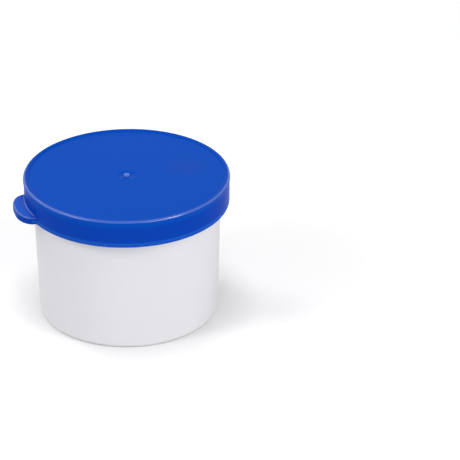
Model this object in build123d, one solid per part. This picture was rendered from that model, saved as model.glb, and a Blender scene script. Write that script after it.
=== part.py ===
"""Specimen container: a small moulded cup with a rolled rim, and a press-down lid whose spoon hangs inside.

Two mouldings, each one solid:
  cup - white, drafted wall, round rim bead, shallow recess under the base
  lid - blue, flat plate with a raised edge, skirt with a snap bead inside, pull tab and spoon

Millimetres, +Z up. The origin is the centre of the base, on the cup's axis. The pull tab points along -X
and the spoon hangs on the +X side of the axis.
"""
import os
from math import acos, asin, atan2, cos, degrees, radians, sin, sqrt, tan

from build123d import *

# ---- cup ----------------------------------------------------------------------------------------------
BASE_RADIUS = 25.0         # outside, at the foot
CUP_HEIGHT = 39.3          # foot to the top of the rim bead
WALL_DRAFT = 1.5           # degrees, opening upwards so that the cup leaves its mould
CUP_WALL = 1.5
CUP_FLOOR = 1.1
CORNER_INSIDE = 3.0        # radius between floor and wall, so that the contents can be scraped out
FOOT_EDGE = 1.1            # radius under the outside of the foot
FOOT_WIDTH = 3.5           # of the ring that the cup stands on, measured in from the wall
FOOT_RECESS = 0.5          # how far the middle of the base is lifted off the table
CUP_GATE_RADIUS = 1.2      # the stub that the moulding gate leaves under the base
CUP_GATE_HEIGHT = 0.3
BEAD_RADIUS = 1.4          # the rim bead's round section, flush with the wall inside
BEAD_BLEND = 0.3           # chamfer in the corner under the bead

# ---- how the lid sits on the cup ----------------------------------------------------------------------
SEAT_GAP = 0.1             # plate above the bead
SIDE_GAP = 0.2             # skirt outside the bead
SNAP_BITE = 0.3            # how far the lid's snap bead reaches in under the cup's bead
SNAP_GAP = 0.3             # between the two beads when the lid is home

# ---- lid ----------------------------------------------------------------------------------------------
PLATE_THICKNESS = 1.05
SKIRT_WALL = 0.83
SKIRT_DEPTH = 6.35         # from the plate's underside to the open edge
SKIRT_CORNER = 0.8         # chamfer between plate and skirt, inside
SKIRT_LEAD = 0.3           # chamfer inside the open edge, which guides the skirt over the cup's bead
SNAP_RADIUS = 0.5          # the snap bead's round section
LIP_RADIUS = 0.55          # the raised round edge of the plate
LIP_RISE = 0.5             # above the plate
LIP_PROUD = 0.18           # outside the skirt
LIP_BLEND = 0.15           # chamfer between the plate and its raised edge
GATE_RING_RADIUS = 2.6     # the dimple at the plate's centre, where it was filled
GATE_RING_DEPTH = 0.22
GATE_STUB_RADIUS = 0.85
GATE_STUB_HEIGHT = 0.45    # above the bottom of the dimple

# ---- pull tab -----------------------------------------------------------------------------------------
TAB_REACH = 3.37           # beyond the skirt
TAB_WIDTH = 14.8
TAB_THICKNESS = 1.95
TAB_CORNER = 4.2
TAB_EDGE = 0.5

# ---- spoon --------------------------------------------------------------------------------------------
SPOON_AXIS = 9.2           # the axis that the spoon curves about, from the lid's own axis
SPOON_CURVE = 8.3          # inside radius of that curve
SPOON_WALL = 1.3
STEM_WIDTH = 10.1
BOWL_WIDTH = 12.4
BOWL_LENGTH = 16.0         # tip to the widest place
SHOULDER_LENGTH = 6.5      # from the stem's width to the bowl's
SPOON_FLOOR_GAP = 2.7      # tip above the cup's floor
SPOON_EDGE = 0.35
SPOON_ROOT = 1.0           # web in the corners where the stem's faces leave the plate
PAD_DEPTH = 0.3            # the round dish in the plate that the spoon's inner face rises from
PAD_EDGE = 0.25

# ---- places that follow from the sizes above ----------------------------------------------------------
FLOOR_TOP = FOOT_RECESS + CUP_FLOOR
BEAD_Z = CUP_HEIGHT - BEAD_RADIUS
WALL_RADIUS_AT_BEAD = BASE_RADIUS + BEAD_Z * tan(radians(WALL_DRAFT))
BEAD_CENTRE_RADIUS = WALL_RADIUS_AT_BEAD - CUP_WALL + BEAD_RADIUS
BEAD_OUTER_RADIUS = BEAD_CENTRE_RADIUS + BEAD_RADIUS
BEAD_FOOT = BEAD_Z - sqrt(BEAD_RADIUS ** 2 - (WALL_RADIUS_AT_BEAD - BEAD_CENTRE_RADIUS) ** 2)

PLATE_UNDER = CUP_HEIGHT + SEAT_GAP
PLATE_TOP = PLATE_UNDER + PLATE_THICKNESS
PLATE_MIDDLE = PLATE_UNDER + PLATE_THICKNESS / 2
SKIRT_BOTTOM = PLATE_UNDER - SKIRT_DEPTH
SKIRT_INNER = BEAD_OUTER_RADIUS + SIDE_GAP
SKIRT_OUTER = SKIRT_INNER + SKIRT_WALL
LIP_CENTRE_RADIUS = SKIRT_OUTER + LIP_PROUD - LIP_RADIUS
LIP_Z = PLATE_TOP + LIP_RISE - LIP_RADIUS
SNAP_CENTRE_RADIUS = BEAD_OUTER_RADIUS - SNAP_BITE + SNAP_RADIUS
SNAP_DROP = sqrt((BEAD_RADIUS + SNAP_RADIUS + SNAP_GAP) ** 2 - (SNAP_CENTRE_RADIUS - BEAD_CENTRE_RADIUS) ** 2)
SNAP_Z = BEAD_Z - SNAP_DROP

SPOON_TIP = FLOOR_TOP + SPOON_FLOOR_GAP
SPOON_OUTER = SPOON_CURVE + SPOON_WALL

# ---- round sections are turned in flats, to keep the model light --------------------------------------
FLAT_ANGLE = 30            # degrees of arc to one flat
SNAP_FLAT_ANGLE = 45       # degrees, the same on the snap bead, which is hidden in the skirt


def wall_radius(z):
    """Outside radius of the drafted wall at height z."""
    return BASE_RADIUS + z * tan(radians(WALL_DRAFT))


def arc(r, z, radius, start, end, flat_angle=FLAT_ANGLE):
    """Points along an arc about (r, z); angles in degrees from the +r direction."""
    flats = max(1, round(abs(end - start) / flat_angle))
    angles = [radians(start + (end - start) * step / flats) for step in range(flats + 1)]
    return [(r + radius * cos(angle), z + radius * sin(angle)) for angle in angles]


def wall_corner(wall_offset, z, radius):
    """Points along the arc that joins a level floor at z to the drafted wall, set in by wall_offset."""
    centre_z = z + radius
    centre_r = wall_radius(centre_z) - wall_offset - radius / cos(radians(WALL_DRAFT))
    return arc(centre_r, centre_z, radius, -90, -WALL_DRAFT)


def corner(profile, r, z):
    """The vertex of a flat (r, z) profile that lies nearest to a place."""
    return profile.vertices().sort_by_distance(Vector(r, z, 0))[0]


def turned(profile):
    """Stand a flat (r, z) profile up and turn it once round the Z axis."""
    return revolve(Plane.XZ * profile, Axis.Z, 360)


def polygon(*points):
    """A flat face with straight sides."""
    return make_face(Polyline(*points, close=True))


# ---- cup ----------------------------------------------------------------------------------------------
def make_cup():
    foot_inner = BASE_RADIUS - FOOT_WIDTH
    gate_z = FOOT_RECESS - CUP_GATE_HEIGHT
    bead_foot = (wall_radius(BEAD_FOOT), BEAD_FOOT)
    foot_angle = degrees(atan2(BEAD_FOOT - BEAD_Z, bead_foot[0] - BEAD_CENTRE_RADIUS))
    profile = polygon(
        (0, gate_z), (CUP_GATE_RADIUS, gate_z), (CUP_GATE_RADIUS, FOOT_RECESS),
        (foot_inner - FOOT_RECESS, FOOT_RECESS), (foot_inner, 0),
        *wall_corner(0, 0, FOOT_EDGE),
        *arc(BEAD_CENTRE_RADIUS, BEAD_Z, BEAD_RADIUS, foot_angle, 0)[:-1],
        *arc(BEAD_CENTRE_RADIUS, BEAD_Z, BEAD_RADIUS, 0, 180),
        *reversed(wall_corner(CUP_WALL, FLOOR_TOP, CORNER_INSIDE)),
        (0, FLOOR_TOP))
    return turned(chamfer(corner(profile, *bead_foot), BEAD_BLEND))


# ---- lid ----------------------------------------------------------------------------------------------
def snap_bead():
    """Points down the inside of the skirt, over the bead that snaps in under the cup's rim."""
    meets_skirt = degrees(acos((SKIRT_INNER - SNAP_CENTRE_RADIUS) / SNAP_RADIUS))
    return arc(SNAP_CENTRE_RADIUS, SNAP_Z, SNAP_RADIUS, meets_skirt, 360 - meets_skirt, SNAP_FLAT_ANGLE)


def lip():
    """Points up the outside of the skirt and over the plate's raised edge."""
    meets_skirt = -degrees(acos((SKIRT_OUTER - LIP_CENTRE_RADIUS) / LIP_RADIUS))
    meets_plate = 180 - degrees(asin((PLATE_TOP - LIP_Z) / LIP_RADIUS))
    return arc(LIP_CENTRE_RADIUS, LIP_Z, LIP_RADIUS, meets_skirt, meets_plate)


def gate_mark():
    """Points from the plate's top to its centre, down into the dimple and up over the stub of the gate."""
    dimple_z = PLATE_TOP - GATE_RING_DEPTH
    stub_z = dimple_z + GATE_STUB_HEIGHT
    stub_edge = GATE_STUB_RADIUS / 3
    return [
        (GATE_RING_RADIUS, PLATE_TOP), (GATE_RING_RADIUS - 2 * GATE_RING_DEPTH, dimple_z),
        (GATE_STUB_RADIUS, dimple_z), (GATE_STUB_RADIUS, stub_z - stub_edge),
        (GATE_STUB_RADIUS - stub_edge, stub_z), (0, stub_z)]


def cap():
    """The turned part of the lid: plate, raised edge, skirt and snap bead."""
    raised_edge = lip()
    profile = polygon(
        (0, PLATE_UNDER),
        (SKIRT_INNER - SKIRT_CORNER, PLATE_UNDER), (SKIRT_INNER, PLATE_UNDER - SKIRT_CORNER),
        *snap_bead(),
        (SKIRT_INNER, SKIRT_BOTTOM + SKIRT_LEAD), (SKIRT_INNER + SKIRT_LEAD, SKIRT_BOTTOM),
        (SKIRT_OUTER, SKIRT_BOTTOM),
        *raised_edge,
        *gate_mark())
    return turned(chamfer(corner(profile, *raised_edge[-1]), LIP_BLEND))


def tab_plan(width, height):
    """The tab's outline seen from above, stood up to a height, from inside the skirt's wall outwards."""
    middle_of_wall = SKIRT_INNER + SKIRT_WALL / 2
    back, front = SKIRT_OUTER / 2, SKIRT_OUTER + TAB_REACH
    plan = Rectangle(front - back, width, align=(Align.MIN, Align.CENTER))
    plan = fillet(plan.vertices().group_by(Axis.X)[0], TAB_CORNER)
    return extrude(Pos(-front, 0) * plan - Circle(middle_of_wall), height)


def pull_tab():
    """A thumb tab flush with the skirt's open edge, where the mould parts, and rooted in the skirt's wall."""
    tab = tab_plan(TAB_WIDTH, TAB_THICKNESS)
    top_edges = tab.faces().sort_by(Axis.Z)[-1].edges()
    free_edges = [edge for edge in top_edges if edge.geom_type == GeomType.LINE or edge.radius < SKIRT_INNER]
    return Pos(0, 0, SKIRT_BOTTOM) * fillet(free_edges, TAB_EDGE)


# ---- spoon --------------------------------------------------------------------------------------------
def spoon_outline():
    """The spoon seen from the lid's axis, as a (y, z) face: stem, shoulders, bowl and round end."""
    stem, bowl = STEM_WIDTH / 2, BOWL_WIDTH / 2
    widest_z = SPOON_TIP + BOWL_LENGTH
    neck_z = widest_z + SHOULDER_LENGTH
    round_z = SPOON_TIP + bowl

    def side(sign):
        stem_edge = Line((sign * stem, PLATE_MIDDLE), (sign * stem, neck_z))
        shoulder = Spline((sign * stem, neck_z), (sign * bowl, widest_z), tangents=[(0, -1), (0, -1)])
        bowl_edge = Line((sign * bowl, widest_z), (sign * bowl, round_z))
        return [stem_edge, shoulder, bowl_edge]

    end = ThreePointArc((bowl, round_z), (0, SPOON_TIP), (-bowl, round_z))
    top = Line((stem, PLATE_MIDDLE), (-stem, PLATE_MIDDLE))
    return make_face([*side(1), end, *side(-1), top])


def across_spoon(outline):
    """Stand a flat (y, z) face up at the spoon's own axis and run it out past the blade."""
    return extrude(Plane.YZ.offset(SPOON_AXIS) * outline, SPOON_OUTER + 2 * SPOON_ROOT)


def blade():
    """The gutter-shaped blade, rounded along all of its free edges."""
    wall = polygon((SPOON_CURVE, SPOON_TIP), (SPOON_OUTER, SPOON_TIP),
                   (SPOON_OUTER, PLATE_MIDDLE), (SPOON_CURVE, PLATE_MIDDLE))
    sharp = Pos(SPOON_AXIS, 0, 0) * turned(wall) & across_spoon(spoon_outline())
    on_top = sharp.faces().sort_by(Axis.Z)[-1].edges()
    return fillet([edge for edge in sharp.edges() if edge not in on_top], SPOON_EDGE)


def blade_root():
    """The webs on both faces of the stem where it leaves the plate, hollowed like a fillet."""
    pad_z = PLATE_UNDER + PAD_DEPTH
    inner_hollow = arc(SPOON_CURVE - SPOON_ROOT, pad_z - SPOON_ROOT, SPOON_ROOT, 0, 90)
    outer_hollow = arc(SPOON_OUTER + SPOON_ROOT, PLATE_UNDER - SPOON_ROOT, SPOON_ROOT, 90, 180)
    root = polygon(*inner_hollow, (SPOON_CURVE - SPOON_ROOT, PLATE_MIDDLE),
                   (SPOON_OUTER + SPOON_ROOT, PLATE_MIDDLE), *outer_hollow)
    flat_of_stem = Pos(0, PLATE_UNDER) * Rectangle(STEM_WIDTH - 4 * SPOON_EDGE, 4 * SPOON_ROOT)
    return Pos(SPOON_AXIS, 0, 0) * turned(root) & across_spoon(flat_of_stem)


def spoon_pad():
    """The shallow round dish in the plate's underside, concentric with the spoon's curve."""
    return Pos(SPOON_AXIS, 0, PLATE_UNDER) * Cone(
        SPOON_CURVE, SPOON_CURVE - PAD_EDGE, PAD_DEPTH, align=(Align.CENTER, Align.CENTER, Align.MIN))


def make_lid():
    return cap() + pull_tab() - spoon_pad() + blade() + blade_root()


if __name__ == "__main__":
    os.makedirs("parts", exist_ok=True)
    export_step(make_cup(), "parts/cup.step")
    export_step(make_lid(), "parts/lid.step")
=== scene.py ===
# %% [markdown]
# # A specimen container in two mouldings
# A small white pot of moulded polypropylene is closed by a blue polyethylene lid. The lid carries a pull tab
# at its skirt and a spoon that hangs inside the pot. Both mouldings are mostly turned forms, so both start
# from a profile that a Geometry Nodes tree turns about the pot's axis.

# %% Tools and the fixed frame
from math import acos, asin, atan2, cos, degrees, hypot, pi, radians, sin, sqrt, tan

import bmesh
import bpy
from mathutils import Matrix, Vector


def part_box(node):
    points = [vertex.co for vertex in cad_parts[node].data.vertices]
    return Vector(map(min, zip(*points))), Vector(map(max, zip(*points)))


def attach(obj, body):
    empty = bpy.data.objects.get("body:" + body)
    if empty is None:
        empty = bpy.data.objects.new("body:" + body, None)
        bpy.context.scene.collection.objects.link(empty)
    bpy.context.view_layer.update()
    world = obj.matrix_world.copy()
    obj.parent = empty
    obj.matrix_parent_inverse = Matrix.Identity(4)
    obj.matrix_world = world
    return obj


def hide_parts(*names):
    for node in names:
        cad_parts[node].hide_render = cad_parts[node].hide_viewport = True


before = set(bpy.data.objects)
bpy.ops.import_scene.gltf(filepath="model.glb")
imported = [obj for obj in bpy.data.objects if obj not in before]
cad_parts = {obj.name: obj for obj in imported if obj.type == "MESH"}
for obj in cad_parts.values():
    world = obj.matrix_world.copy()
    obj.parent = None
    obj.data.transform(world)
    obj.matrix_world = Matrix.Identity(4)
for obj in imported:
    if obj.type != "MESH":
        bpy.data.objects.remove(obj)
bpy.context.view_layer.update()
MM = 0.001

# %% [markdown]
# ## Helpers for nodes, colours and meshes
# Shader trees and geometry trees are built the same way: a node gets its settings, then each input gets
# either a value or a link. Colours are written as sRGB hex, as a paint chart gives them, and one function
# turns them into the linear values that the renderer works in.

# %% Helpers for nodes, colours and meshes
def add_node(tree, kind, inputs=(), **settings):
    """Add a node. inputs is a dict from socket name or number to a value or to another node's output."""
    made = tree.nodes.new(kind)
    for name, value in settings.items():
        setattr(made, name, value)
    for name, value in dict(inputs).items():
        if isinstance(value, bpy.types.NodeSocket):
            tree.links.new(value, made.inputs[name])
        else:
            made.inputs[name].default_value = value
    return made


def linear(srgb_hex):
    """sRGB hex to linear RGBA."""
    channels = [int(srgb_hex[i:i + 2], 16) / 255 for i in (0, 2, 4)]
    return (*[c / 12.92 if c <= 0.04045 else ((c + 0.055) / 1.055) ** 2.4 for c in channels], 1.0)


def empty_material(name):
    """A material with no nodes yet, and its tree."""
    material = bpy.data.materials.new(name)
    material.use_nodes = True
    material.node_tree.nodes.clear()
    return material, material.node_tree


def between(tree, value, start, end, low=0.0, high=1.0):
    """Map a value that runs from start to end, in metres or as a mask, onto low to high, held at both ends."""
    return add_node(tree, "ShaderNodeMapRange", {"Value": value, "From Min": start, "From Max": end,
                                                 "To Min": low, "To Max": high}).outputs["Result"]


def combine(tree, operation, one, other):
    """Join two masks with one Math node."""
    return add_node(tree, "ShaderNodeMath", {0: one, 1: other}, operation=operation).outputs[0]


def tint(tree, mask, under, srgb_hex):
    """Lay a colour over another where a mask says so. The node's colour sockets are 6 and 7 in, 2 out."""
    return add_node(tree, "ShaderNodeMix", {0: mask, 6: under, 7: linear(srgb_hex)}, data_type="RGBA").outputs[2]


def placed(name, data):
    """Put an object with the given data into the scene."""
    made = bpy.data.objects.new(name, data)
    bpy.context.scene.collection.objects.link(made)
    return made


def mesh_object(name, work):
    """Turn a finished bmesh into an object."""
    mesh = bpy.data.meshes.new(name)
    work.to_mesh(mesh)
    work.free()
    return placed(name, mesh)


# %% [markdown]
# ## Sizes
# These are the sizes of the two mouldings, in millimetres. The pot's height and its rim come from the frame,
# so that the looks stay on the solids. The rest are the moulder's own radii and walls.

# %% Sizes read from the frame
CUP_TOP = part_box("cup")[1].z / MM
BEAD_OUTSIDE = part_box("cup")[1].x / MM
LID_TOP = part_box("lid")[1].z / MM
LID_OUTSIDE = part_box("lid")[1].x / MM
TAB_FRONT = -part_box("lid")[0].x / MM
SPOON_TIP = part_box("lid")[0].z / MM
print("rim", round(CUP_TOP, 2), round(BEAD_OUTSIDE, 2), "lid", round(LID_TOP, 2), round(LID_OUTSIDE, 2))

# %% Sizes of the cup
BASE_RADIUS = 25.0
DRAFT = radians(1.5)
CUP_WALL = 1.5
FOOT_EDGE = 1.1
FOOT_INNER = 21.5
RECESS = 0.5
FLOOR_TOP = 1.6
INSIDE_CORNER = 3.0
BEAD_RADIUS = 1.4
BEAD_BLEND = 0.3           # soft corner where the wall runs into the rim bead
BEAD_UNDER = 14            # degrees of the bead that this corner takes up
CUP_GATE_RADIUS = 1.2      # the stub that the gate leaves under the base
CUP_GATE_BOTTOM = 0.2      # above the table
BEAD_R = BEAD_OUTSIDE - BEAD_RADIUS
BEAD_Z = CUP_TOP - BEAD_RADIUS

# %% Sizes of the lid
PLATE = 1.05
LIP_RADIUS = 0.85
LIP_RISE = 0.5
LIP_PROUD = 0.18
LIP_BLEND = 0.35
LIP_SHORT = 20             # degrees that the lip's arc stops short of the plate, for the soft corner
LIP_CREST = LID_OUTSIDE - LIP_RADIUS
SKIRT_WALL = 0.83
SKIRT_DEPTH = 6.35
SKIRT_EDGE = 0.12
PLATE_TOP = LID_TOP - LIP_RISE
PLATE_UNDER = PLATE_TOP - PLATE
SKIRT_OUTER = LID_OUTSIDE - LIP_PROUD
SKIRT_INNER = SKIRT_OUTER - SKIRT_WALL
SKIRT_BOTTOM = PLATE_UNDER - SKIRT_DEPTH
SKIRT_CORNER = 0.8
SKIRT_LEAD = 0.3
SNAP_RADIUS = 0.5
SNAP_Z = 36.39
DIMPLE_RADIUS = 2.6
DIMPLE_DEPTH = 0.22
STUB_RADIUS = 0.85
STUB_HEIGHT = 0.45
STUB_EDGE = 0.25
SPOON_MIDDLE = 17.0        # the spoon's root, from the pot's axis

# %% [markdown]
# ## Turning a profile
# On the real mould the cavity is turned on a lathe. Here an arc is a run of points on a circle, and a profile
# is a line of (radius, height) points from the axis round the section and back to the axis. It could be spun
# with the Screw modifier. Curve to Mesh along a circle keeps every point of the profile where it is drawn,
# and the tree's inputs stay easy to change.

# %% Points on an arc, and a profile as a curve
def arc(r, z, radius, start, end, steps=12):
    """Points about (r, z), with angles in degrees from the +r direction."""
    angles = [radians(start + (end - start) * i / steps) for i in range(steps + 1)]
    return [(r + radius * cos(a), z + radius * sin(a)) for a in angles]


PATH_RADIUS = 1.0 * MM     # of the circle that a profile is swept along


def profile_curve(name, points):
    """A poly curve for the lathe: x is the distance out from the path, y is the height turned down."""
    data = bpy.data.curves.new(name, "CURVE")
    data.dimensions = "3D"
    spline = data.splines.new("POLY")
    spline.points.add(len(points) - 1)
    for point, (r, z) in zip(spline.points, points):
        point.co = (r * MM - PATH_RADIUS, -z * MM, 0, 1)
    return placed(name, data)


# %% [markdown]
# ## The lathe
# One Geometry Nodes tree serves both pieces. Its inputs are the profile, the number of steps in a turn and
# the material. Merging the points that meet on the axis closes the poles.

# %% The lathe as a Geometry Nodes tree
WELD = 1e-6                # metres, the distance under which two points are one


def lathe_tree():
    tree = bpy.data.node_groups.new("lathe", "GeometryNodeTree")
    add_socket = tree.interface.new_socket
    add_socket("Geometry", in_out="INPUT", socket_type="NodeSocketGeometry")
    sockets = {name: add_socket(name, in_out="INPUT", socket_type=kind) for name, kind in (
        ("Profile", "NodeSocketObject"), ("Turns", "NodeSocketInt"), ("Material", "NodeSocketMaterial"))}
    add_socket("Geometry", in_out="OUTPUT", socket_type="NodeSocketGeometry")
    given = add_node(tree, "NodeGroupInput")
    line = add_node(tree, "GeometryNodeObjectInfo", {"Object": given.outputs["Profile"]})
    circle = add_node(tree, "GeometryNodeCurvePrimitiveCircle",
                      {"Resolution": given.outputs["Turns"], "Radius": PATH_RADIUS})
    upright = add_node(tree, "GeometryNodeSetCurveNormal", {"Curve": circle.outputs["Curve"]}, mode="Z_UP")
    turned = add_node(tree, "GeometryNodeCurveToMesh",
                      {"Curve": upright.outputs["Curve"], "Profile Curve": line.outputs["Geometry"]})
    closed = add_node(tree, "GeometryNodeMergeByDistance", {"Geometry": turned.outputs["Mesh"], "Distance": WELD})
    real = add_node(tree, "GeometryNodeRealizeInstances", {"Geometry": closed.outputs["Geometry"]})
    painted = add_node(tree, "GeometryNodeSetMaterial",
                       {"Geometry": real.outputs["Geometry"], "Material": given.outputs["Material"]})
    add_node(tree, "NodeGroupOutput", {"Geometry": painted.outputs["Geometry"]})
    return tree, {name: socket.identifier for name, socket in sockets.items()}


LATHE, LATHE_INPUTS = lathe_tree()
TURNS = 240
print("lathe inputs:", ", ".join(LATHE_INPUTS))

# %% [markdown]
# ## From profile to mesh
# The tree's result is kept as a plain mesh, so that later steps can cut and join it. It is welded, and its
# faces are pointed outwards, before it is used.

# %% Turn, bake and close
def outward(mesh):
    """Weld a mesh, point every face outwards and count the edges that are still open."""
    work = bmesh.new()
    work.from_mesh(mesh)
    bmesh.ops.remove_doubles(work, verts=work.verts, dist=WELD)
    bmesh.ops.recalc_face_normals(work, faces=work.faces)
    open_edges = sum(1 for edge in work.edges if not edge.is_manifold)
    work.to_mesh(mesh)
    work.free()
    return open_edges


def turn(name, points, material):
    """Turn a profile into a plain mesh object."""
    line = profile_curve(name + "_profile", points)
    made = placed(name, bpy.data.meshes.new(name + "_start"))
    modifier = made.modifiers.new("lathe", "NODES")
    modifier.node_group = LATHE
    for key, value in (("Profile", line), ("Turns", TURNS), ("Material", material)):
        modifier[LATHE_INPUTS[key]] = value
    bake(made)
    bpy.data.objects.remove(line)
    print(name, len(made.data.polygons), "faces,", outward(made.data), "open edges")
    return made


def bake(made):
    """Replace an object's mesh by what its modifiers make of it, and remove them."""
    bpy.context.view_layer.update()
    evaluated = made.evaluated_get(bpy.context.evaluated_depsgraph_get())
    made.data = bpy.data.meshes.new_from_object(evaluated)
    made.modifiers.clear()


# %% [markdown]
# ## The cup's plastic
# The cup is polypropylene from a finely blasted cavity: it looks satin, with broad soft highlights. Both
# plastics have a very fine grain as bump, far smaller than anything that shows in the outline.

# %% Cup plastic
GRAIN_DETAIL, GRAIN_STRENGTH, GRAIN_DEPTH = 2.0, 0.05, 0.02 * MM
CUP_GRAIN, LID_GRAIN = 2500.0, 900.0


def grain(tree, place, scale):
    """The fine unevenness of a mould's surface, as a normal."""
    noise = add_node(tree, "ShaderNodeTexNoise", {"Vector": place, "Scale": scale, "Detail": GRAIN_DETAIL})
    bump = add_node(tree, "ShaderNodeBump", {"Height": noise.outputs["Fac"], "Strength": GRAIN_STRENGTH,
                                             "Distance": GRAIN_DEPTH})
    return bump.outputs["Normal"]


def polypropylene():
    """White polypropylene, moulded in a finely blasted cavity: satin, with broad soft highlights."""
    material, tree = empty_material("moulded_satin_polypropylene")
    place = add_node(tree, "ShaderNodeTexCoord").outputs["Object"]
    shader = add_node(tree, "ShaderNodeBsdfPrincipled", {
        "Base Color": linear("F2F2F6"), "Roughness": 0.42, "IOR": 1.49, "Specular IOR Level": 0.5,
        "Normal": grain(tree, place, CUP_GRAIN)})
    add_node(tree, "ShaderNodeOutputMaterial", {"Surface": shader.outputs["BSDF"]})
    return material


CUP_PLASTIC = polypropylene()
print("plastic:", CUP_PLASTIC.name)

# %% [markdown]
# ## Where the lid is glossy
# The lid is low-density polyethylene. Its flats are soft and nearly matt. The round edges that hands rub, the
# outside of the lip and the edges of the tab, are polished, so they catch the lamps as thin lines. Masks from
# object coordinates and from the slope of the surface say where those edges are.

# %% Masks for the lid's edges
SKIN_GLOSS, EDGE_GLOSS = 0.02, 1.0
SKIN_ROUGHNESS, EDGE_ROUGHNESS = 0.28, 0.2
EDGE_STEEP, EDGE_FLAT = (0.3, 0.45), (0.97, 0.88)     # upward part of the normal where an edge begins and ends
THUMB_FLAT = 0.7, 0.95     # the same for the top of the tab, which is painted lighter as painted light


def surface(tree):
    """Object coordinates, distance from the pot's axis, and the upward part of the normal."""
    texture = add_node(tree, "ShaderNodeTexCoord")
    place = texture.outputs["Object"]
    flat = add_node(tree, "ShaderNodeVectorMath", {0: place, 1: (1, 1, 0)}, operation="MULTIPLY")
    from_axis = add_node(tree, "ShaderNodeVectorMath", {0: flat.outputs["Vector"]}, operation="LENGTH")
    normal = add_node(tree, "ShaderNodeSeparateXYZ", {0: texture.outputs["Normal"]})
    return place, from_axis.outputs["Value"], normal.outputs["Z"]


def tab_mask(tree, x):
    return between(tree, x, -(LID_OUTSIDE - 0.1) * MM, -(LID_OUTSIDE + 0.1) * MM)


def rubbed_mask(tree, on_tab, from_axis, upward):
    """The round edges of the lip and the tab."""
    tilted = combine(tree, "MULTIPLY", between(tree, upward, *EDGE_STEEP), between(tree, upward, *EDGE_FLAT))
    on_lip = between(tree, from_axis, (LIP_CREST - 0.1) * MM, (LIP_CREST + 0.05) * MM)
    return combine(tree, "MULTIPLY", combine(tree, "MAXIMUM", on_lip, on_tab), tilted)


print("edge gloss", EDGE_GLOSS, "against", SKIN_GLOSS, "on the flats")

# %% [markdown]
# ## How the lid's blue varies
# The plate is a little lighter than the skirt: the skirt's darker blue is painted shade on the lid's side. The
# skirt's hem is painted lighter, as painted light for the light that comes through its thinner wall, and the top
# of the tab is painted lighter, as painted light. Over the spoon's thick root the plate is painted darker and more
# violet, as painted shade of the sink mark there, and the stub in its middle, where the gate was torn off, is
# painted pale, as a painted highlight.

# %% Lid plastic
# The skirt's blue is painted shade; the hem's and the tab's blues are painted light, the sink's blue is painted
# shade and the scar's blue is a painted highlight.
PLATE_BLUE, SKIRT_PAINTED_SHADE_BLUE, HEM_PAINTED_LIGHT_BLUE = "0451C4", "0A45BA", "1C60D0"
TAB_TOP_PAINTED_LIGHT_BLUE, SINK_PAINTED_SHADE_BLUE, SCAR_PAINTED_HIGHLIGHT_BLUE = "2E66D6", "2A49B4", "98ACEC"
HEM_START, HEM_END = (0.2, 0.4), (1.1, 1.4)    # heights above the skirt's open edge
HEM_LIGHT_AMOUNT, SINK_SHADE_AMOUNT, SCAR_HIGHLIGHT_AMOUNT = 0.8, 0.3, 0.5
SINK_SHADE_REACH = 2.0 * MM, 7.0 * MM
SCAR_HIGHLIGHT_REACH = (STUB_RADIUS - 0.1) * MM, (STUB_RADIUS + 0.2) * MM


def hem_painted_light_mask(tree, z, on_tab):
    """A band of painted light round the bottom of the skirt, left out on the tab."""
    above = between(tree, z, *[(SKIRT_BOTTOM + h) * MM for h in HEM_START])
    below = between(tree, z, *[(SKIRT_BOTTOM + h) * MM for h in HEM_END], HEM_LIGHT_AMOUNT, 0.0)
    return combine(tree, "MULTIPLY", combine(tree, "MULTIPLY", above, below),
                   combine(tree, "SUBTRACT", 1.0, on_tab))


def lid_blue(tree, place, on_tab, from_axis, upward):
    """The lid's base colour, with painted light and painted shade laid over it."""
    z = add_node(tree, "ShaderNodeSeparateXYZ", {0: place}).outputs["Z"]
    on_plate = between(tree, z, (PLATE_UNDER - 1) * MM, PLATE_UNDER * MM)
    painted_light_tab_top = combine(tree, "MULTIPLY", on_tab, between(tree, upward, *THUMB_FLAT))
    from_sink_shade = add_node(tree, "ShaderNodeVectorMath", {0: place, 1: (SPOON_MIDDLE * MM, 0, PLATE_TOP * MM)},
                         operation="DISTANCE").outputs["Value"]
    # The skirt's blue under the plate's is painted shade on the lid's side.
    blue = tint(tree, on_plate, linear(SKIRT_PAINTED_SHADE_BLUE), PLATE_BLUE)
    # Painted light on the tab's top.
    blue = tint(tree, painted_light_tab_top, blue, TAB_TOP_PAINTED_LIGHT_BLUE)
    # Painted light round the hem, for the light that comes through its thin wall.
    blue = tint(tree, hem_painted_light_mask(tree, z, on_tab), blue, HEM_PAINTED_LIGHT_BLUE)
    # Painted shade of the sink mark over the spoon's root.
    blue = tint(tree, between(tree, from_sink_shade, *SINK_SHADE_REACH, SINK_SHADE_AMOUNT, 0.0), blue, SINK_PAINTED_SHADE_BLUE)
    # A painted highlight on the gate's stub.
    return tint(tree, between(tree, from_axis, *SCAR_HIGHLIGHT_REACH, SCAR_HIGHLIGHT_AMOUNT, 0.0), blue, SCAR_PAINTED_HIGHLIGHT_BLUE)


def polyethylene():
    """Blue polyethylene: soft on the flats, and glossier on the round edges that are rubbed."""
    material, tree = empty_material("moulded_gloss_polyethylene")
    place, from_axis, upward = surface(tree)
    on_tab = tab_mask(tree, add_node(tree, "ShaderNodeSeparateXYZ", {0: place}).outputs["X"])
    rubbed = rubbed_mask(tree, on_tab, from_axis, upward)
    shader = add_node(tree, "ShaderNodeBsdfPrincipled", {
        "Base Color": lid_blue(tree, place, on_tab, from_axis, upward), "IOR": 1.51,
        "Roughness": between(tree, rubbed, 0.0, 1.0, SKIN_ROUGHNESS, EDGE_ROUGHNESS),
        "Specular IOR Level": between(tree, rubbed, 0.0, 1.0, SKIN_GLOSS, EDGE_GLOSS),
        "Normal": grain(tree, place, LID_GRAIN)})
    add_node(tree, "ShaderNodeOutputMaterial", {"Surface": shader.outputs["BSDF"]})
    return material


LID_PLASTIC = polyethylene()
print("plastic:", LID_PLASTIC.name)

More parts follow.
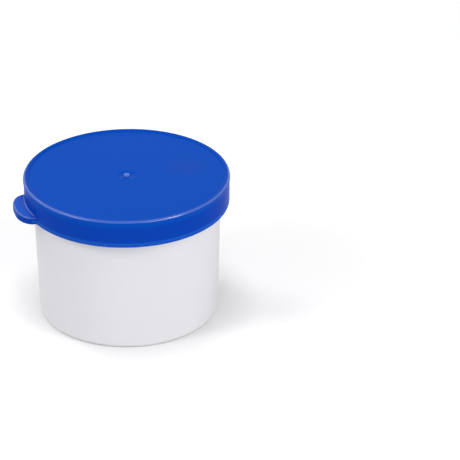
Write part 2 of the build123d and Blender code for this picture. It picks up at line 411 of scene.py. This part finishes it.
# %% [markdown]
# ## The cup
# The section runs from the axis under the base, round the foot, up the drafted wall, over the full-round rim
# and down the inside. Draft of 1.5 degrees lets the real cup leave its mould.

# %% Cup
def wall_radius(z):
    return BASE_RADIUS + z * tan(DRAFT)


def wall_corner(set_in, z, radius):
    """The arc between a level floor at z and the drafted wall."""
    r = wall_radius(z + radius) - set_in - radius / cos(DRAFT)
    return arc(r, z + radius, radius, -90, -degrees(DRAFT))


def soft_corner(before, at, after, radius, steps=6):
    """A quadratic curve that cuts the corner at a point, reaching a radius along each side."""
    def toward(a, b):
        length = hypot(b[0] - a[0], b[1] - a[1])
        return (a[0] + (b[0] - a[0]) * radius / length, a[1] + (b[1] - a[1]) * radius / length)
    p, q = toward(at, before), toward(at, after)

    def mix(i, t):
        return (1 - t) ** 2 * p[i] + 2 * t * (1 - t) * at[i] + t * t * q[i]
    return [(mix(0, step / steps), mix(1, step / steps)) for step in range(steps + 1)]


def cup_profile():
    foot_z = BEAD_Z - sqrt(BEAD_RADIUS ** 2 - (wall_radius(BEAD_Z) - BEAD_R) ** 2)
    foot = (wall_radius(foot_z), foot_z)
    foot_angle = degrees(atan2(foot_z - BEAD_Z, foot[0] - BEAD_R))
    under = arc(BEAD_R, BEAD_Z, BEAD_RADIUS, foot_angle + BEAD_UNDER, 0)
    return [
        (0, CUP_GATE_BOTTOM), (CUP_GATE_RADIUS, CUP_GATE_BOTTOM), (CUP_GATE_RADIUS, RECESS),
        (FOOT_INNER - RECESS, RECESS), (FOOT_INNER, 0),
        *wall_corner(0, 0, FOOT_EDGE),
        *soft_corner((wall_radius(foot_z - 1), foot_z - 1), foot, under[0], BEAD_BLEND),
        *under, *arc(BEAD_R, BEAD_Z, BEAD_RADIUS, 0, 180, 24)[1:],
        *reversed(wall_corner(CUP_WALL, FLOOR_TOP, INSIDE_CORNER)),
        (0, FLOOR_TOP)]


cup = turn("cup_moulding", cup_profile(), CUP_PLASTIC)

# %% [markdown]
# ## The lid's cap
# Plate, raised edge, skirt and snap bead are one turned form. The raised edge is a fine round bead that
# stands 0.5 mm above the plate. It catches the light as a thin line, so it gets plenty of points.

# %% Cap
def cap_profile():
    lip_r, lip_z = LIP_CREST, LID_TOP - LIP_RADIUS
    lip_start = -degrees(acos((SKIRT_OUTER - lip_r) / LIP_RADIUS))
    lip_end = 180 - degrees(asin((PLATE_TOP - lip_z) / LIP_RADIUS))
    lip = arc(lip_r, lip_z, LIP_RADIUS, lip_start, lip_end - LIP_SHORT, 24)
    inside_lip = (lip_r + LIP_RADIUS * cos(radians(lip_end)), PLATE_TOP)
    dimple_z = PLATE_TOP - DIMPLE_DEPTH
    stub_top = dimple_z + STUB_HEIGHT
    return [
        (0, PLATE_UNDER), (SKIRT_INNER - SKIRT_CORNER, PLATE_UNDER),
        *soft_corner((SKIRT_INNER - 3, PLATE_UNDER), (SKIRT_INNER, PLATE_UNDER),
                     (SKIRT_INNER, PLATE_UNDER - 3), SKIRT_CORNER)[1:],
        *arc(SKIRT_INNER, SNAP_Z, SNAP_RADIUS, 90, 270),
        (SKIRT_INNER, SKIRT_BOTTOM + SKIRT_LEAD), (SKIRT_INNER + SKIRT_LEAD, SKIRT_BOTTOM),
        *soft_corner((SKIRT_INNER + SKIRT_LEAD, SKIRT_BOTTOM), (SKIRT_OUTER, SKIRT_BOTTOM),
                     (SKIRT_OUTER, PLATE_TOP), SKIRT_EDGE),
        *lip,
        *soft_corner(lip[-1], inside_lip, (0, PLATE_TOP), LIP_BLEND / 2),
        (inside_lip[0] - LIP_BLEND, PLATE_TOP), (DIMPLE_RADIUS + 0.2, PLATE_TOP),
        (DIMPLE_RADIUS, PLATE_TOP), (DIMPLE_RADIUS - 2 * DIMPLE_DEPTH, dimple_z), (STUB_RADIUS, dimple_z),
        *soft_corner((STUB_RADIUS, dimple_z), (STUB_RADIUS, stub_top), (0, stub_top), STUB_EDGE),
        (0, stub_top)]


lid = turn("lid_moulding", cap_profile(), LID_PLASTIC)

# %% [markdown]
# ## The pull tab
# A thumb tab stands out from the skirt's open edge. It is a flat slab with round corners, and only its top
# edges are soft, because the mould parts along its underside.

# %% Pull tab
TAB_WIDTH = 14.8
TAB_THICKNESS = 1.95
TAB_CORNER = 4.2           # along X; across, the corner is longer
TAB_CORNER_ACROSS = 6.2
WEB = 0.4                  # round web in the corner between the tab and the skirt
TAB_EDGE = 0.5
TAB_SUNK = 0.35            # how far the tab runs into the skirt, so that the two can be fused
CORNER_STEPS = 12
BACK_STEPS = 20


def prism(name, outline, z, height):
    """Stand an outline of (x, y) points up from z."""
    work = bmesh.new()
    face = work.faces.new([work.verts.new((x * MM, y * MM, z * MM)) for x, y in outline])
    raised = bmesh.ops.extrude_face_region(work, geom=[face])
    lifted = [v for v in raised["geom"] if isinstance(v, bmesh.types.BMVert)]
    bmesh.ops.translate(work, vec=(0, 0, height * MM), verts=lifted)
    bmesh.ops.recalc_face_normals(work, faces=work.faces)
    return mesh_object(name, work)


def pull_tab():
    half, root = TAB_WIDTH / 2, SKIRT_OUTER - TAB_SUNK
    corner_x, corner_y = -TAB_FRONT + TAB_CORNER, half - TAB_CORNER_ACROSS
    turns = [radians(90 * i / CORNER_STEPS) for i in range(CORNER_STEPS + 1)]
    corner = [(corner_x - TAB_CORNER * sin(a), corner_y + TAB_CORNER_ACROSS * cos(a)) for a in turns]
    root_half = asin(half / root)
    along = [1 - i * 2 / BACK_STEPS for i in range(BACK_STEPS + 1)]
    back = [(-root * cos(root_half * t), root * sin(root_half * t)) for t in along]
    outline = [*back, *[(x, -y) for x, y in corner], *reversed(corner)]
    tab = prism("pull_tab", outline, SKIRT_BOTTOM, TAB_THICKNESS)
    work = bmesh.new()
    work.from_mesh(tab.data)
    top = (SKIRT_BOTTOM + TAB_THICKNESS) * MM
    rims = [e for e in work.edges if all(abs(v.co.z - top) < WELD for v in e.verts)
            and not all(abs(hypot(v.co.x, v.co.y) - root * MM) < WELD for v in e.verts)]
    bmesh.ops.bevel(work, geom=rims, offset=TAB_EDGE * MM, segments=5, profile=0.5, affect="EDGES")
    work.to_mesh(tab.data)
    work.free()
    return tab


print("tab outline", TAB_WIDTH, "mm wide,", TAB_THICKNESS, "mm thick")

# %% [markdown]
# ## The web at the tab's root
# A concave fillet softens the corner where the tab's top meets the skirt. It follows the skirt's own steps
# round the axis, so that its faces lie on the skirt's, and it thins out towards both ends.

# %% Web at the tab's root
WEB_SUNK = 0.3             # how far the web runs into the tab and the skirt
WEB_STEPS = 9              # of the skirt, to each side of the tab's middle
WEB_TAPER = 3              # steps over which it thins out


def tab_web():
    top = SKIRT_BOTTOM + TAB_THICKNESS
    work = bmesh.new()
    rows = []
    for step in range(-WEB_STEPS, WEB_STEPS + 1):
        turn_by = pi + step * 2 * pi / TURNS
        web = WEB * min(1, (WEB_STEPS + 1.2 - abs(step)) / WEB_TAPER)
        inside, below = SKIRT_OUTER - WEB_SUNK, top - WEB_SUNK
        section = [(inside, below), (SKIRT_OUTER + web, below),
                   *arc(SKIRT_OUTER + web, top + web, web, 270, 180, 6), (inside, top + web)]
        rows.append([work.verts.new((r * cos(turn_by) * MM, r * sin(turn_by) * MM, z * MM)) for r, z in section])
    for one, other in zip(rows, rows[1:]):
        for i in range(len(one)):
            j = (i + 1) % len(one)
            work.faces.new((one[i], one[j], other[j], other[i]))
    for row in (rows[0], rows[-1]):
        work.faces.new(row)
    bmesh.ops.recalc_face_normals(work, faces=work.faces)
    return mesh_object("tab_web", work)


tab, web = pull_tab(), tab_web()
print("tab", len(tab.data.polygons), "faces, web", len(web.data.polygons))

# %% [markdown]
# ## The spoon
# The spoon is a gutter-shaped blade, curved about an axis of its own, that hangs from the plate opposite the
# tab. Its two faces are sheets of points on concentric cylinders, which spread apart at the root like the
# fillets of the mould, and one ring of faces joins them round the outline.

# %% Spoon
SPOON_AXIS = 9.2
SPOON_CURVE = 8.3
SPOON_WALL = 1.3
STEM_HALF = 5.05
BOWL_HALF = 6.2
BOWL_TOP = SPOON_TIP + 16.0
NECK = BOWL_TOP + 6.5
SPOON_EDGE = 0.35
SPOON_ROOT = 1.0           # radius of the webs where the faces leave the plate
PAD_DEPTH = 0.3            # the round dish that the inner face rises from
PAD_EDGE = 0.25
COLUMNS = 16               # of points across the blade


def spoon_half_width(z):
    """Half the blade's width at a height: round end, bowl, shoulder, stem."""
    if z < SPOON_TIP + BOWL_HALF:
        return sqrt(max(BOWL_HALF ** 2 - (SPOON_TIP + BOWL_HALF - z) ** 2, 0))
    if z < BOWL_TOP:
        return BOWL_HALF
    if z < NECK:
        t = (z - BOWL_TOP) / (NECK - BOWL_TOP)
        return BOWL_HALF + (STEM_HALF - BOWL_HALF) * (3 * t * t - 2 * t ** 3)
    return STEM_HALF


def flare(z, top):
    """How far a face spreads at the root, where it runs into a plate at a height."""
    near = SPOON_ROOT - (top - z)
    return SPOON_ROOT - sqrt(SPOON_ROOT ** 2 - min(max(near, 0), SPOON_ROOT) ** 2)


def spoon_heights():
    """Heights of the rows: close together at the round end and at the root."""
    end = [SPOON_TIP + BOWL_HALF * (1 - cos(radians(a))) for a in (6, 12, 20, 30, 40, 50, 60, 70, 80, 90)]
    middle = [end[-1] + (PLATE_UNDER - SPOON_ROOT - end[-1]) * i / 22 for i in range(1, 23)]
    root = [PLATE_UNDER - SPOON_ROOT * (1 - sin(radians(a))) for a in (15, 30, 45, 60, 75, 90)]
    return [*end, *middle, *root, PLATE_UNDER + 0.2, PLATE_UNDER + PLATE / 2]


print("spoon rows", len(spoon_heights()), "of", COLUMNS + 1, "points")

# %% [markdown]
# ## The blade
# Rows of points on the inner and the outer cylinder are joined into two sheets, and a ring of faces round the
# outline closes them. A narrow bevel breaks the outline's edges.

# %% Blade
BEVEL_ANGLE = radians(38)


def blade():
    work = bmesh.new()
    sheets = []
    faces = ((-1, SPOON_CURVE, PLATE_UNDER + PAD_DEPTH), (1, SPOON_CURVE + SPOON_WALL, PLATE_UNDER))
    for side, radius, top in faces:
        rows = []
        for z in spoon_heights():
            half, at = spoon_half_width(z), radius + side * flare(min(z, top), top)
            ys = [half * (2 * c / COLUMNS - 1) for c in range(COLUMNS + 1)]
            rows.append([work.verts.new(((SPOON_AXIS + sqrt(at ** 2 - y ** 2)) * MM, y * MM, z * MM)) for y in ys])
        sheets.append(rows)
    for rows in sheets:
        for low, high in zip(rows, rows[1:]):
            for c in range(COLUMNS):
                work.faces.new((low[c], low[c + 1], high[c + 1], high[c]))
    inner, outer = sheets
    for c in (0, COLUMNS):
        for i in range(len(inner) - 1):
            work.faces.new((inner[i][c], inner[i + 1][c], outer[i + 1][c], outer[i][c]))
    for row in (0, -1):
        for c in range(COLUMNS):
            work.faces.new((inner[row][c], inner[row][c + 1], outer[row][c + 1], outer[row][c]))
    bmesh.ops.recalc_face_normals(work, faces=work.faces)
    made = mesh_object("spoon", work)
    edge = made.modifiers.new("edge", "BEVEL")
    edge.width, edge.segments = SPOON_EDGE * MM, 3
    edge.limit_method, edge.angle_limit = "ANGLE", BEVEL_ANGLE
    bake(made)
    return made


spoon = blade()
print("spoon", len(spoon.data.polygons), "faces")

# %% [markdown]
# ## One moulding
# Tab and spoon leave the mould in one shot with the cap, so the three are fused into one closed skin. The
# shallow dish that the spoon's inner face rises from is cut out of the plate first. The skin is welded after
# each step: without that, a few edges at the spoon's root stay open.

# %% Fuse the lid
def dish():
    work = bmesh.new()
    middle = Matrix.Translation((SPOON_AXIS * MM, 0, (PLATE_UNDER + PAD_DEPTH / 2) * MM))
    bmesh.ops.create_cone(work, cap_ends=True, segments=96, radius1=SPOON_CURVE * MM,
                          radius2=(SPOON_CURVE - PAD_EDGE) * MM, depth=PAD_DEPTH * MM, matrix=middle)
    return mesh_object("dish", work)


def fuse(body, tool, operation):
    """Cut or join, weld the result, and count its open edges."""
    step = body.modifiers.new(operation.lower(), "BOOLEAN")
    step.operation, step.object, step.solver = operation, tool, "EXACT"
    bake(body)
    bpy.data.objects.remove(tool)
    return outward(body.data)


fuse(lid, dish(), "DIFFERENCE")
fuse(tab, web, "UNION")
fuse(lid, tab, "UNION")
fuse(lid, spoon, "UNION")
print("lid", len(lid.data.polygons), "faces,", outward(lid.data), "open edges")

# %% [markdown]
# ## Seats on the frame
# Each dressed piece stands for its solid and moves with its body. Faces are shaded smooth, except where two
# of them meet at a real corner of the mould.

# %% Ride, replace and shade
CORNER_ANGLE = radians(32)
for piece, node, material in ((cup, "cup", CUP_PLASTIC), (lid, "lid", LID_PLASTIC)):
    piece.data.materials.clear()
    piece.data.materials.append(material)
    piece.data.polygons.foreach_set("material_index", [0] * len(piece.data.polygons))
    piece.data.shade_smooth()
    piece.data.set_sharp_from_angle(angle=CORNER_ANGLE)
    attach(piece, node)
    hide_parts(node)
    print(piece.name, "rides on", node)

# %% [markdown]
# ## Floor
# The pot stands on white paper. To camera rays the paper carries a painted shadow: it is darker close round
# the pot's base, and away from the pot it is a little overexposed, as painted light, and plain white further out,
# so that the shadow stays close. To all other rays it is plain matt paper, so none of this adds light to the pot.

# %% Floor
PAPER = "F3F3F3"
BLANK = "FEFEFE"           # the white of the background
FLOOR_SIZE = 6
PAPER_GAIN_WITH_PAINTED_SHADOW = 0.98, 1.27    # the paper's colour to the camera: painted shadow near the pot, painted light away from it
PAINTED_SHADOW_NEAR, PAINTED_SHADOW_FAR = 26 * MM, 37 * MM
SWEEP_NEAR, SWEEP_FAR = 160 * MM, 320 * MM    # out here the paper is plain white to the camera


def floor():
    bpy.ops.mesh.primitive_plane_add(size=FLOOR_SIZE)
    made = bpy.context.object
    made.name = "floor"
    material, tree = empty_material("white_paper")
    paper = add_node(tree, "ShaderNodeBsdfDiffuse", {"Color": linear(PAPER)})
    place = add_node(tree, "ShaderNodeTexCoord").outputs["Object"]
    away = add_node(tree, "ShaderNodeVectorMath", {0: place}, operation="LENGTH").outputs["Value"]
    # To the camera the paper is painted darker close round the pot's base, as a painted shadow, and brighter away
    # from it.
    paper_with_painted_shadow = add_node(tree, "ShaderNodeBsdfDiffuse", {
        "Color": between(tree, away, PAINTED_SHADOW_NEAR, PAINTED_SHADOW_FAR, *PAPER_GAIN_WITH_PAINTED_SHADOW)})
    white = add_node(tree, "ShaderNodeEmission", {"Color": linear(BLANK), "Strength": 1.0})
    sweep = add_node(tree, "ShaderNodeMixShader", {0: between(tree, away, SWEEP_NEAR, SWEEP_FAR),
                                                   1: paper_with_painted_shadow.outputs["BSDF"], 2: white.outputs["Emission"]})
    ray = add_node(tree, "ShaderNodeLightPath")
    mixed = add_node(tree, "ShaderNodeMixShader", {0: ray.outputs["Is Camera Ray"], 1: paper.outputs["BSDF"],
                                                   2: sweep.outputs["Shader"]})
    add_node(tree, "ShaderNodeOutputMaterial", {"Surface": mixed.outputs["Shader"]})
    made.data.materials.append(material)
    return made


print("stage:", floor().name)

# %% [markdown]
# ## Surrounding
# The world stands for a light tent. Camera, glossy and transmission rays see it as plain white, and its light
# on the pot falls mostly from above.

# %% World
HORIZON, OVERHEAD = 0.1, 0.9        # strength of the light
TENT_START, TENT_END = 0.45, 1.0    # of the way up the sky


def surrounding(low, high):
    """A tent that is dim at the horizon and bright overhead, and plain white to all but diffuse rays."""
    world = bpy.data.worlds.new("light_tent")
    bpy.context.scene.world = world
    world.use_nodes = True
    tree = world.node_tree
    tree.nodes.clear()
    place = add_node(tree, "ShaderNodeTexCoord")
    split = add_node(tree, "ShaderNodeSeparateXYZ", {0: place.outputs["Generated"]})
    level = between(tree, split.outputs["Z"], TENT_START, TENT_END, low, high)
    ray = add_node(tree, "ShaderNodeLightPath")
    seen = combine(tree, "MAXIMUM", ray.outputs["Is Camera Ray"],
                   combine(tree, "MAXIMUM", ray.outputs["Is Glossy Ray"], ray.outputs["Is Transmission Ray"]))
    light = add_node(tree, "ShaderNodeBackground", {"Color": linear("FFFFFF"), "Strength": level})
    white = add_node(tree, "ShaderNodeBackground", {"Color": linear(BLANK), "Strength": 1.0})
    mixed = add_node(tree, "ShaderNodeMixShader", {0: seen, 1: light.outputs[0], 2: white.outputs[0]})
    add_node(tree, "ShaderNodeOutputWorld", {"Surface": mixed.outputs[0]})
    return world


print("world:", surrounding(HORIZON, OVERHEAD).name)

# %% [markdown]
# ## Lamps
# Square soft boxes stand round the pot at one distance. The broad ones light the walls. The small ones, the
# cores, draw the line of light on the lip. Places are given as seen from the camera, in degrees.

# %% Lamps
TURN = radians(16.7)       # of the camera about the pot
LAMP_DISTANCE = 830
FACE_CAMERA = Matrix.Rotation(-TURN, 3, "Z")
LAMP_AIM = Vector((0, 0, 20)) * MM


def softbox(name, at, size, power):
    """A square lamp turned to the pot, at a place in millimetres seen from the camera: right, away, up."""
    data = bpy.data.lights.new(name, "AREA")
    data.shape, data.size, data.energy = "SQUARE", size * MM, power
    lamp = placed(name, data)
    lamp.location = FACE_CAMERA @ Vector(at) * MM
    lamp.rotation_euler = (LAMP_AIM - lamp.location).to_track_quat("-Z", "Y").to_euler()


def around(azimuth, rise, distance=LAMP_DISTANCE):
    """A place seen from the camera, from degrees round the pot (right of the camera) and degrees up."""
    level = distance * cos(radians(rise))
    return (level * sin(radians(azimuth)), -level * cos(radians(azimuth)), distance * sin(radians(rise)))


SOFTBOXES = (              # name, azimuth, rise, size in millimetres, watts
    ("left_behind", -130, 46, 600, 0.4),
    ("left_behind_core", -130, 46, 200, 0.8),
    ("left_front", -62, 39, 600, 0.4),
    ("left_front_core", -62, 39, 200, 1.4),
    ("right_front_core", 58, 41, 200, 0.8),
    ("right_low", 42, 18, 600, 2.4),
)
for name, azimuth, rise, size, power in SOFTBOXES:
    softbox(name, around(azimuth, rise), size, power)
print("lamps:", len(SOFTBOXES), "with", round(sum(row[-1] for row in SOFTBOXES), 2), "W in all")

# %% [markdown]
# ## Camera
# A long lens, far off and looking down, keeps the pot's two sides nearly parallel. The pot stands left of the
# middle of the view.

# %% Camera
LENS = 198.37
PITCH = radians(28.27)
ROLL = 0.00053
SENSOR = 36
CAMERA_AT = Vector((28.418, -620.69, 357.04)) * MM    # before the turn about the pot


def camera():
    data = bpy.data.cameras.new("camera")
    data.lens, data.sensor_width = LENS, SENSOR
    made = placed("camera", data)
    ahead = Vector((0, cos(PITCH), -sin(PITCH)))
    right = Vector((1, 0, 0))
    up = right.cross(ahead)
    rolled = cos(ROLL) * right + sin(ROLL) * up
    axes = Matrix((rolled, rolled.cross(ahead), -ahead)).transposed()
    made.matrix_world = Matrix.Translation(FACE_CAMERA @ CAMERA_AT) @ (FACE_CAMERA @ axes).to_4x4()
    bpy.context.scene.camera = made
    return made


print("camera:", camera().name, LENS, "mm")
bpy.context.scene.view_settings.view_transform = "Standard"
